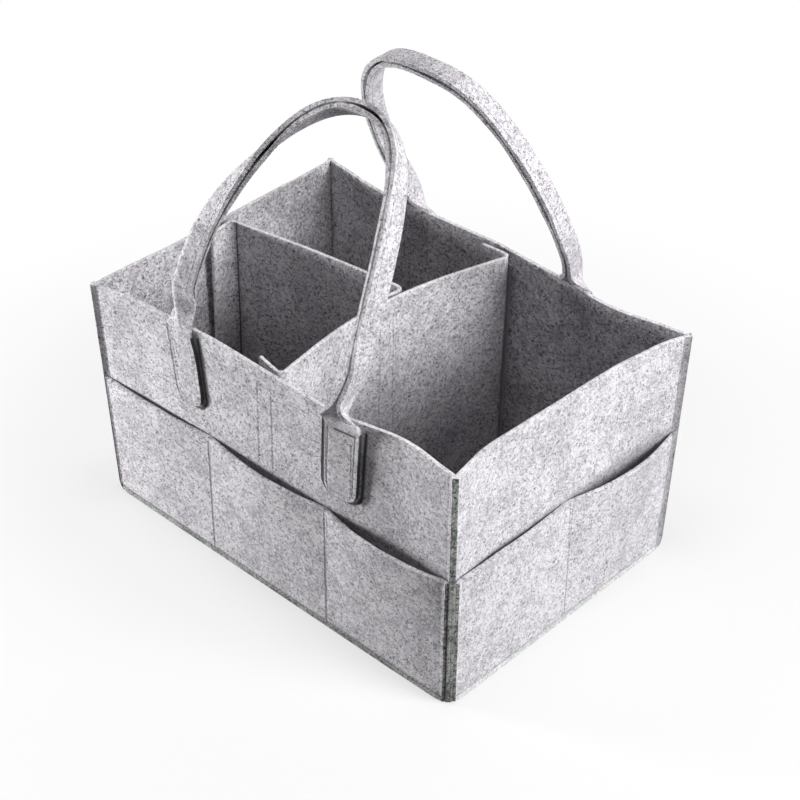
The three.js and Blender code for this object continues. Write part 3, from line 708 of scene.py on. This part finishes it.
for name, outward in walls.items():
    wall = copy_of(f"{name}_wall", f"{name}_wall_felt")
    keep_face_side(wall, outward)
    round_folds(wall)
    face_felt = {"front": front_felt, "right_end": right_felt}.get(name, felt_face)
    thicken(wall, -1, 3, [face_felt, rim_felt_and_highlight, felt_raw_and_shade], edge=rim_edge)
    press_corners(wall)
    # The inner faces take the inner felt with its painted shade
    wall.data.materials.append(inner_felt)
    for face in wall.data.polygons:
        if face.material_index == 0 and face.normal.dot(Vector(outward)) < -0.5:
            face.material_index = 3
    place_on(wall, "tub", "felt", f"{name}_wall")
    surfaces[f"{name}_wall"] = bvh(wall)

    is_long = name in ("front", "back")
    strip = copy_of(f"{name}_pocket_strip", f"{name}_strip_felt")
    keep_face_side(strip, outward)
    round_folds(strip, lambda x, y: abs(abs(x) - long_seam_x if is_long else y) < 0.5)
    strip_felt = long_strip_felt if is_long else end_strip_felt
    thicken(strip, -1, 3, [strip_felt, strip_felt, felt_raw_and_shade], edge=rim_edge)
    press_corners(strip)
    place_on(strip, "tub", "felt", f"{name}_pocket_strip")
    surfaces[f"{name}_pocket_strip"] = bvh(strip)


# Dividers

# How far the free edge of a flange leans away from the felt that it grips, at the rim
front_flange_lean = 5
back_flange_lean = 1.5
short_flange_lean = 4


def divider(node, outward, name):
    """A divider's face, parted in height so that its flanges can lean."""
    piece = copy_of(node, name)
    keep_face_side(piece, outward)
    edit(piece, "EDGE", upright, bpy.ops.mesh.subdivide, number_cuts=7)
    return piece


main_divider = divider("main_divider", (1, 0, 0), "main_divider_felt")
for vertex in main_divider.data.vertices:
    x, y, z = vertex.co / MM
    if y < -85:
        vertex.co.y += front_flange_lean * MM * eased(-x, 3, 18) * eased(z, 110, rim_height)
    elif y > 85:
        vertex.co.y -= back_flange_lean * MM * eased(-x, -6, 8) * eased(z, 130, rim_height)
thicken(main_divider, -1, 2, [tall_felt, rim_felt_and_highlight])
place_on(main_divider, "main_divider", "felt", "main_divider")
surfaces["main_divider"] = bvh(main_divider)

short_divider = divider("short_divider", (0, -1, 0), "short_divider_felt")
for vertex in short_divider.data.vertices:
    x, y, z = vertex.co / MM
    if x > -60:
        vertex.co.x -= short_flange_lean * MM * eased(-y, -8, 4) * eased(z, 60, rim_height)
    elif x < -100:
        vertex.co.x += short_flange_lean * MM * eased(-y, 4, 18) * eased(z, 20, rim_height)
thicken(short_divider, -1, 2, [divider_felt, rim_felt_and_highlight])
place_on(short_divider, "short_divider", "felt", "short_divider")

tape_bodies = {"front": "tub", "back": "tub", "left_end": "tub", "main_divider": "main_divider"}
for owner, body in tape_bodies.items():
    tape = copy_of(f"{owner}_hook_tape", f"{owner}_tape")
    tape.data.materials.append(hook_tape)
    soften(tape, 0.3, 2)
    place_on(tape, body, "hook_tape", f"{owner}_hook_tape")


# Handles

def leaning_profile(arch):
    """How far inward and up the leaning strap is at a share of its rise."""
    steps = 100
    step = strap_rise * arch["rise"] / steps
    places = [(0, 0)]
    for i in range(steps):
        lean = math.radians(mix(arch["root_lean"], arch["crown_lean"], (i + 0.5) / steps))
        inward, up = places[-1]
        places.append((inward + step * math.sin(lean), up + step * math.cos(lean)))

    def at(share):
        i = min(steps - 1, int(share * steps))
        rest = share * steps - i
        return [mix(places[i][k], places[i + 1][k], rest) for k in range(2)]
    return at


def strap_course(arch, inward_sign):
    """Points along a strap's middle from its hinge axis on: distance, place and share of the rise."""
    profile = leaning_profile(arch)
    count = 3000
    course = []
    for i in range(count + 1):
        turn = math.pi * i / count
        rise = min(1, abs(math.sin(turn)) ** (2 / arch["power"]))
        across = math.copysign(abs(math.cos(turn)) ** (2 / arch["power"]), math.cos(turn))
        inward, up = profile(rise)
        swell = 1 + arch["swell"] * math.sin(math.pi * rise)
        x = handle_half_spacing * across * swell + strap_rise * arch["skew"] * rise
        spot = Vector((x, inward_sign * inward, up))
        before = course[-1] if course else None
        travelled = before[0] + (spot - before[1]).length if before else 0
        course.append((travelled, spot, rise))
    return course


# From a strap's middle up to the spine of its fold, and from the spine down to its seam
spine_rise = 6.6
seam_depth = 10.6

# How far to both sides of a place on a strap its direction is measured
direction_reach = 3.5

# Over which shares of its length a strap twists, its near foot drifts less and its far foot drifts more
twist_shares = (0.52, 0.9)
near_shares = (0.35, 0.6)
far_shares = (0.64, 0.86)


class Strap:
    """A folded strap and how it lies at a distance along it.

    Twist turns it near its far foot. Roll turns it over the rolled shares of its length: where it
    starts, is full, eases and ends. Drift moves its two feet sideways.
    """

    def __init__(self, arch, inward_sign, fold_sign, axis_y, twist, drift, roll, rolled):
        self.arch = arch
        self.inward_sign = inward_sign
        self.fold_sign = fold_sign
        self.course = strap_course(arch, inward_sign)
        self.length = self.course[-1][0]
        self.origin = Vector((0, axis_y, axis_z))
        self.twist = math.radians(twist)
        self.roll = math.radians(roll)
        self.rolled = rolled
        self.drift = drift

    def on_course(self, distance):
        """The place on the strap's middle at a distance, and its share of the rise."""
        low, high = 0, len(self.course) - 1
        while high - low > 1:
            middle = (low + high) // 2
            if self.course[middle][0] < distance:
                low = middle
            else:
                high = middle
        (start, a, rise_a), (stop, b, rise_b) = self.course[low], self.course[high]
        share = (distance - start) / (stop - start)
        return a.lerp(b, share), mix(rise_a, rise_b, share)

    def frame(self, distance):
        """The fold's spine, the way across the strap, the way from its slit to its fold, and its run."""
        middle, rise = self.on_course(distance)
        ahead = self.on_course(min(self.length, distance + direction_reach))[0]
        behind = self.on_course(max(0, distance - direction_reach))[0]
        tangent = (ahead - behind).normalized()
        lean = math.radians(mix(self.arch["root_lean"], self.arch["crown_lean"], rise))
        depth = Vector((0, self.inward_sign * math.cos(lean), -math.sin(lean)))
        depth = (depth - tangent * tangent.dot(depth)).normalized()
        across = tangent.cross(depth) * self.inward_sign
        share = distance / self.length
        start, full, easing, end = self.rolled
        roll = self.roll * eased(share, start, full) * (1 - eased(share, easing, end))
        turned = Matrix.Rotation(roll - self.twist * eased(share, *twist_shares), 3, tangent)
        across, fold = turned @ across, turned @ depth * self.fold_sign
        near, far = self.drift
        shift = near * (1 - eased(share, *near_shares)) + far * eased(share, *far_shares)
        spine = self.origin + middle + Vector((shift, 0, 0)) + fold * spine_rise
        return spine, across, fold, tangent


# How loosely the strip is folded, and how far down the fold its halves have flared out in full
fold_slack = 0.2
flare_depth = 14


def folded_spot(spine, across, fold, angle, reach, flare):
    """A spot of the felt strip at a reach across it, where its halves are folded up by an angle."""
    radius = felt / 2 + fold_slack
    side = math.copysign(1, reach)
    bent = min(abs(reach), radius * angle)
    turn = bent / radius if angle else 0
    rest = abs(reach) - bent
    out = radius * math.sin(turn) + rest * math.cos(angle)
    down = radius * (1 - math.cos(turn)) + rest * math.sin(angle)
    out += flare * (down / flare_depth) ** 2 * math.sin(angle)
    return spine + across * (side * out) - fold * down


# A handle's felt strip: its rows in each neck and along the strap, half its width, its faces across
# and how much closer together they lie near the fold
neck_shares = [0.07, 0.14, 0.22, 0.3, 0.39, 0.48, 0.58, 0.69, 0.8, 0.9]
strap_steps = 72
strip_half = 15.5
across_steps = 16
crowding = 1.15


def tab_rows(tab):
    """Heights and half widths of a tab from its rounded foot up."""
    rows = []
    for i in range(6):
        turn = math.pi / 2 * i / 5
        z = tab["foot"] + tab_radius * (1 - math.cos(turn))
        rows.append((z, tab["half"] - tab_radius * (1 - math.sin(turn))))
    for i in range(1, 12):
        z = mix(tab["foot"] + tab_radius, tab_top, i / 11)
        rows.append((z, tab["half"] - tab["shoulder"] * eased(z, tab_top - 20, tab_top)))
    return rows


def tab_middle(tab, z):
    """The x of a leaning tab's middle at a height."""
    return mix(tab["low"], tab["high"], (z - tab["foot"]) / (tab_top - tab["foot"]))


def handle_felt(side, wall, strap, tabs, slit):
    """One felt strip: a flat tab at each end, folded lengthwise into the strap between them."""
    outward_y = -strap.inward_sign
    surface = surfaces[wall]
    far_out = 200
    slope_reach = 11
    lift = 0.3

    def wall_y(x, z):
        """The y of the middle of a sheet that lies on the wall."""
        start = point(x, outward_y * far_out, z)
        hit = surface.ray_cast(start, Vector((0, -outward_y, 0)))[0]
        return hit.y / MM + outward_y * (layer_gap + felt / 2 + lift)

    feet = []
    for foot in (1, -1):
        tab = tabs[foot]
        facing = tab["facing"]
        part = []
        for z, half in tab_rows(tab):
            x = tab_middle(tab, z)
            level = min(z, rim_height - 3)
            slope = (wall_y(x + slope_reach, level) - wall_y(x - slope_reach, level)) / (2 * slope_reach)
            across = Vector((-foot, -foot * slope, 0)).normalized() * facing
            low_fold = Vector((0, -outward_y * strap.fold_sign * facing, 0))
            folded = eased(z - axis_z, *tab["fold"])
            bulge = tab["bulge"] * half * math.sin(math.pi / 2 * folded)
            spot = Vector((x, wall_y(x, level) + outward_y * bulge, z))
            part.append((spot, across, low_fold, folded, half, z - tab["foot"] + tab["chart"]))
        neck_end = tab["neck"]
        spine, across, fold, tangent = strap.frame(neck_end if foot > 0 else strap.length - neck_end)
        low = part[-1]
        up = Vector((tab["high"] - tab["low"], 0, tab_top - tab["foot"])).normalized()
        away = tangent * foot
        span = (spine - low[0]).length
        for share in neck_shares:
            square, cube = share ** 2, share ** 3
            spot = (low[0] * (2 * cube - 3 * square + 1) + up * span * (cube - 2 * square + share)
                    + spine * (3 * square - 2 * cube) + away * span * (cube - square))
            turn = eased(share, 0, 1)
            row_across = low[1].lerp(across, turn).normalized()
            row_fold = low[2].lerp(fold, turn).normalized()
            folded = eased(mix(tab_top - axis_z, neck_end, share), *tab["fold"])
            part.append((spot, row_across, row_fold, folded, low[4], low[5] + share * neck_end))
        feet.append(part)
    middle = []
    for i in range(strap_steps + 1):
        distance = mix(tabs[1]["neck"], strap.length - tabs[-1]["neck"], i / strap_steps)
        spine, across, fold, tangent = strap.frame(distance)
        middle.append((spine, across, fold, 1, strip_half, past_lines))
    rows = feet[0] + middle + feet[1][::-1]

    bpy.ops.object.select_all(action="DESELECT")
    bpy.ops.mesh.primitive_grid_add(x_subdivisions=across_steps, y_subdivisions=len(rows) - 1, size=1)
    piece = bpy.context.active_object
    piece.name = f"{side}_handle_felt"
    columns = across_steps + 1
    chart = []
    for index, vertex in enumerate(piece.data.vertices):
        row, column = divmod(index, columns)
        spine, across, fold, folded, half, height = rows[row]
        angle = math.pi / 2 * folded
        half = mix(half, strip_half, folded)
        share = 2 * column / across_steps - 1
        share = math.copysign(abs(share) ** crowding, share)
        opening = slit * (0.6 + 0.4 * math.sin(row * 0.55) * math.sin(row * 0.21 + 1))
        vertex.co = folded_spot(spine, across, fold, angle, share * half, opening) * MM
        chart.append((share, height * MM))
    for loop in piece.data.loops:
        piece.data.uv_layers.active.data[loop.index].uv = chart[loop.vertex_index]
    thicken(piece, 0, 1, [tab_felt, strap_edge], lump=0.25, edge=0)
    # The tabs' cut sides that don't face outward take the painted shadow
    piece.data.materials.append(tab_shade)
    for face in piece.data.polygons:
        if face.material_index == 1 and face.center.z < (tab_top - 4) * MM:
            face.material_index = 0 if face.normal.y * outward_y > 0.45 else 2
    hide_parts(f"{side}_handle_strap", f"{side}_handle_left_tab", f"{side}_handle_right_tab")
    surfaces[f"{side}_handle"] = bvh(piece)
    return piece


front_strap = Strap(front_arch, 1, 1, front_axis_y, 105, (3, -7), -18, (0.04, 0.14, 0.26, 0.44))
back_strap = Strap(back_arch, -1, -1, back_axis_y, 0, (0, 0), 11, (0.05, 0.35, 0.6, 0.85))
front_handle = handle_felt("front", "front_wall", front_strap, front_tabs, 1.0)
back_handle = handle_felt("back", "back_wall", back_strap, back_tabs, 1.2)


# Stitches

def stitch_shape():
    """One stitch, 1 long: a short rounded thread whose ends dip into the felt."""
    bpy.ops.object.select_all(action="DESELECT")
    bpy.ops.mesh.primitive_cylinder_add(vertices=6, radius=0.5, depth=1, end_fill_type="TRIFAN")
    master = bpy.context.active_object
    edit(master, "EDGE", upright, bpy.ops.mesh.subdivide, number_cuts=4)
    for vertex in master.data.vertices:
        x, y, z = vertex.co
        swell = math.cos(math.pi * z * 0.82)
        width = 0.55 + 0.45 * swell
        vertex.co = Vector((z, x * width, y * width + 0.9 * (swell - 0.75)))
    spots = [vertex.co.copy() for vertex in master.data.vertices]
    faces = [tuple(face.vertices) for face in master.data.polygons]
    bpy.data.objects.remove(master)
    return spots, faces


stitch_spots, stitch_faces = stitch_shape()
stitch_pitch = 3.3
stitch_length = 2.9
stitch_width = 0.75
sink = 0.12


def evenly(path, pitch):
    """Middles and directions of even steps along a path of points."""
    lengths = [(b - a).length for a, b in zip(path, path[1:])]
    total = sum(lengths)
    count = max(1, round(total / pitch))
    steps = []
    for i in range(count):
        left = total * (i + 0.5) / count
        for (a, b), length in zip(zip(path, path[1:]), lengths):
            if left <= length:
                break
            left -= length
        steps.append((a.lerp(b, min(1, left / length)), (b - a).normalized()))
    return steps


def sew(name, body, paths, surface, nodes):
    """A line of stitches on the felt beside each path."""
    spots, faces = [], []
    for path in paths:
        for place, way in evenly([spot * MM for spot in path], stitch_pitch * MM):
            found, normal, _, _ = surface.find_nearest(place)
            side = normal.cross(way).normalized()
            along = side.cross(normal)
            first = len(spots)
            for spot in stitch_spots:
                spots.append(found + along * (spot.x * stitch_length * MM)
                             + side * (spot.y * stitch_width * MM)
                             + normal * ((spot.z * stitch_width - sink) * MM))
            faces.extend(tuple(first + i for i in face) for face in stitch_faces)
    mesh = bpy.data.meshes.new(name)
    mesh.from_pydata(spots, [], faces)
    piece = bpy.data.objects.new(name, mesh)
    bpy.context.scene.collection.objects.link(piece)
    piece.data.materials.append(thread)
    edit(piece, "FACE", everything, bpy.ops.mesh.normals_make_consistent, inside=False)
    smooth(piece, 80)
    place_on(piece, body, "thread", *nodes)


def levels_of(node):
    """The middles of a thread's rings from its foot up, in millimetres."""
    spots = [vertex.co / MM for vertex in frame["nodes"][node].data.vertices]
    spots.sort(key=lambda spot: spot.z)
    groups = [[spots[0]]]
    for spot in spots[1:]:
        if spot.z - groups[-1][-1].z > 0.6:
            groups.append([])
        groups[-1].append(spot)
    return [sum(group, Vector()) / len(group) for group in groups]


# Where the seams of the pocket strips lie
base_seam_z = 4.6
division_foot = 9
division_top = pocket_height - 2.5
# How far a corner's stitches run on towards the pocket's rim
corner_run = 6


def outside(out):
    """A place just outside a wall, in the middle of its length."""
    return out * (125 if out.y else 175)


for name, outward in walls.items():
    out = Vector(outward)
    low, high = (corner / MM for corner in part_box(f"{name}_base_seam"))
    along = Vector((-out.y, out.x, 0))
    half = abs((high - low).dot(along)) / 2
    foot = [outside(out) + along * (half * side) + Vector((0, 0, base_seam_z)) for side in (-1, 1)]
    strip_surface = surfaces[f"{name}_pocket_strip"]
    sew(f"{name}_base_stitches", "tub", [foot], strip_surface, [f"{name}_base_seam"])
    divisions = (-long_seam_x, long_seam_x) if out.y else (0,)
    for i, place in enumerate(divisions):
        line = [outside(out) + along * place + Vector((0, 0, z)) for z in (division_foot, division_top)]
        sew(f"{name}_pocket_stitches_{i + 1}", "tub", [line], strip_surface,
            [f"{name}_pocket_seam_{i + 1}"])

for corner in ("front_left", "front_right", "back_right", "back_left"):
    levels = levels_of(f"{corner}_corner_seam")
    below = [spot for spot in levels if spot.z < pocket_height - 1]
    above = [spot for spot in levels if spot.z > pocket_height + 3]
    owner = corner.split("_")[0]
    lower = [below[0], below[-1] + (below[-1] - below[-2]).normalized() * corner_run]
    upper = [above[0] + (above[0] - above[1]).normalized() * corner_run, above[-1]]
    strip, wall = (bpy.data.objects[f"{owner}_{part}_felt"].data for part in ("strip", "wall"))
    spots = [vertex.co for mesh in (strip, wall) for vertex in mesh.vertices]
    count = len(strip.vertices)
    faces = [tuple(face.vertices) for face in strip.polygons]
    faces += [tuple(count + i for i in face.vertices) for face in wall.polygons]
    sew(f"{corner}_corner_stitches", "tub", [lower, upper], BVHTree.FromPolygons(spots, faces),
        [f"{corner}_corner_seam"])


def arch_line(place, reach, low, high):
    """A line up, across and down again, where place turns a step sideways and a height into a spot."""
    return [place(-reach, low), place(-reach, high), place(reach, high), place(reach, low)]


for name in ("front", "back", "left_end"):
    out = Vector(walls[name])
    low, high = (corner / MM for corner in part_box(f"{name}_hook_tape_seam"))
    along = Vector((-out.y, out.x, 0))
    middle = (low + high) / 2
    centre = along * middle.dot(along) + outside(out)
    reach = abs((high - low).dot(along)) / 2 - thread_radius
    path = arch_line(lambda u, z: centre + along * u + Vector((0, 0, z)), reach,
                     low.z + 1, high.z - thread_radius)
    sew(f"{name}_tape_stitches", "tub", [path], surfaces[f"{name}_wall"], [f"{name}_hook_tape_seam"])

right_of_divider = 30
low, high = (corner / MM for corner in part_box("main_divider_hook_tape_seam"))
centre_y = (low.y + high.y) / 2
reach = (high.y - low.y) / 2 - thread_radius
path = arch_line(lambda u, z: Vector((right_of_divider, centre_y + u, z)), reach,
                 low.z + 1, high.z - thread_radius)
divider_surface = surfaces["main_divider"]
sew("main_divider_tape_stitches", "main_divider", [path], divider_surface,
    ["main_divider_hook_tape_seam"])
for end in ("front", "back"):
    node = f"main_divider_{end}_fold_seam"
    sew(f"main_divider_{end}_fold_stitches", "main_divider", [levels_of(node)], divider_surface, [node])


def tab_line(tab, y):
    """The line of stitches round a tab."""
    half_share, inset, top = 0.76, 4, 53
    reach, radius, high = tab["half"] * half_share, inset, tab["foot"] + top
    side, level = reach - radius, tab["foot"] + inset + radius
    turns = [math.pi / 2 * i / 4 for i in range(5)]
    spots = [(-reach, high), (reach, high)]
    spots += [(side + radius * math.cos(turn), level - radius * math.sin(turn)) for turn in turns]
    spots += [(-side - radius * math.sin(turn), level - radius * math.cos(turn)) for turn in turns]
    spots.append((-reach, high))
    return [Vector((tab_middle(tab, z) + u, y, z)) for u, z in spots]


# How far from its feet a strap's seam ends, and places beside the felt that the stitches are moved onto
seam_end = 24
beside_strap = 5
beyond_tab_y = 140
seam_steps = 60

handles = (("front", front_strap, front_tabs, -1), ("back", back_strap, back_tabs, 1))
for side, strap, tabs, sign in handles:
    handle_surface = surfaces[f"{side}_handle"]
    for foot in (-1, 1):
        which = "left" if foot * sign > 0 else "right"
        sew(f"{side}_{which}_tab_stitches", "tub", [tab_line(tabs[foot], sign * beyond_tab_y)],
            handle_surface, [f"{side}_handle_{which}_tab_seam"])
    lines = []
    for face in (1, -1):
        line = []
        for i in range(seam_steps + 1):
            spine, across, fold, _ = strap.frame(mix(seam_end, strap.length - seam_end, i / seam_steps))
            line.append(spine - fold * seam_depth + across * (face * beside_strap))
        lines.append(line)
    sew(f"{side}_strap_stitches", f"{side}_handle", lines, handle_surface, [f"{side}_handle_strap_seam"])

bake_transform(front_handle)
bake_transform(back_handle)


# Floor, light and camera

def stage_finish():
    """A white floor that keeps a pale shadow."""
    finish = Finish("pale_floor")
    seen = finish.node("LightPath", output="Is Camera Ray")
    seen = seen.sum("MAXIMUM", finish.node("LightPath", output="Is Glossy Ray"))
    place = finish.node("TexCoord", output="Object")
    reach = finish.node("VectorMath", {"operation": "LENGTH"}, {0: place}, "Value")
    share = finish.step(reach, 0.2, 0.5) * 0.38 + 0.62
    dim = finish.node("BsdfDiffuse", None, {"Color": (0.2, 0.2, 0.2, 1)})
    lit = finish.node("BsdfDiffuse", None, {"Color": (0.7, 0.7, 0.7, 1)})
    plain = finish.node("MixShader", None, {0: seen, 1: dim, 2: lit})
    bright = finish.node("Emission", None, {"Color": (1, 1, 1, 1), "Strength": 1.0})
    return finish.put_out(finish.node("MixShader", None, {0: seen * share, 1: plain, 2: bright}))


bpy.ops.object.select_all(action="DESELECT")
bpy.ops.mesh.primitive_plane_add(size=12, location=(0, 0, -0.2 * MM))
floor = bpy.context.active_object
floor.name = "floor"
floor.data.materials.append(stage_finish())

# The world is white to the camera and lights the felt only faintly
faint = 0.08
scene = bpy.context.scene
world = bpy.data.worlds.new("studio")
scene.world = world
world.use_nodes = True
tree = world.node_tree
tree.nodes.clear()
rays = tree.nodes.new("ShaderNodeLightPath").outputs
seen = Wire(tree, rays["Is Camera Ray"]).sum("MAXIMUM", Wire(tree, rays["Is Glossy Ray"]))
seen = seen.sum("MAXIMUM", Wire(tree, rays["Is Transmission Ray"]))
background = tree.nodes.new("ShaderNodeBackground")
background.inputs["Color"].default_value = (1, 1, 1, 1)
connect(tree, seen * (1 - faint) + faint, background.inputs["Strength"])
out = tree.nodes.new("ShaderNodeOutputWorld")
tree.links.new(background.outputs[0], out.inputs["Surface"])


def lamp(name, place, target, size, power):
    """A round lamp that shines at a target, in metres and watts."""
    light = bpy.data.lights.new(name, "AREA")
    light.shape = "DISK"
    light.size = size
    light.energy = power
    holder = bpy.data.objects.new(name, light)
    holder.location = place
    holder.rotation_euler = (Vector(target) - Vector(place)).to_track_quat("-Z", "Y").to_euler()
    scene.collection.objects.link(holder)


lamp("key", (1.8, 0.5, 0.95), (0, 0, 0.1), 1.2, 58)
lamp("front_fill", (-0.78, -0.56, 0.15), (-0.08, 0, 0.1), 0.22, 12)
lamp("top", (0.25, 0.05, 2.2), (0, 0, 0.1), 0.5, 8)
lamp("sky", (-0.1, -0.35, 1.9), (0, 0, 0.1), 0.8, 10)

# The camera as fitted to the photo
camera_place = point(774.4, -822.7, 901.3)
camera_target = point(-3.95, 18.17, 89)
camera_roll = 0.79

camera_data = bpy.data.cameras.new("camera")
camera_data.lens = 90.2
camera_data.sensor_width = 36
camera_data.clip_start = 0.05
camera = bpy.data.objects.new("camera", camera_data)
camera.location = camera_place
turn = (camera_target - camera_place).to_track_quat("-Z", "Y").to_matrix()
camera.rotation_euler = (turn @ Matrix.Rotation(math.radians(camera_roll), 3, "Z")).to_euler()
scene.collection.objects.link(camera)
scene.camera = camera
scene.view_settings.view_transform = "Standard"
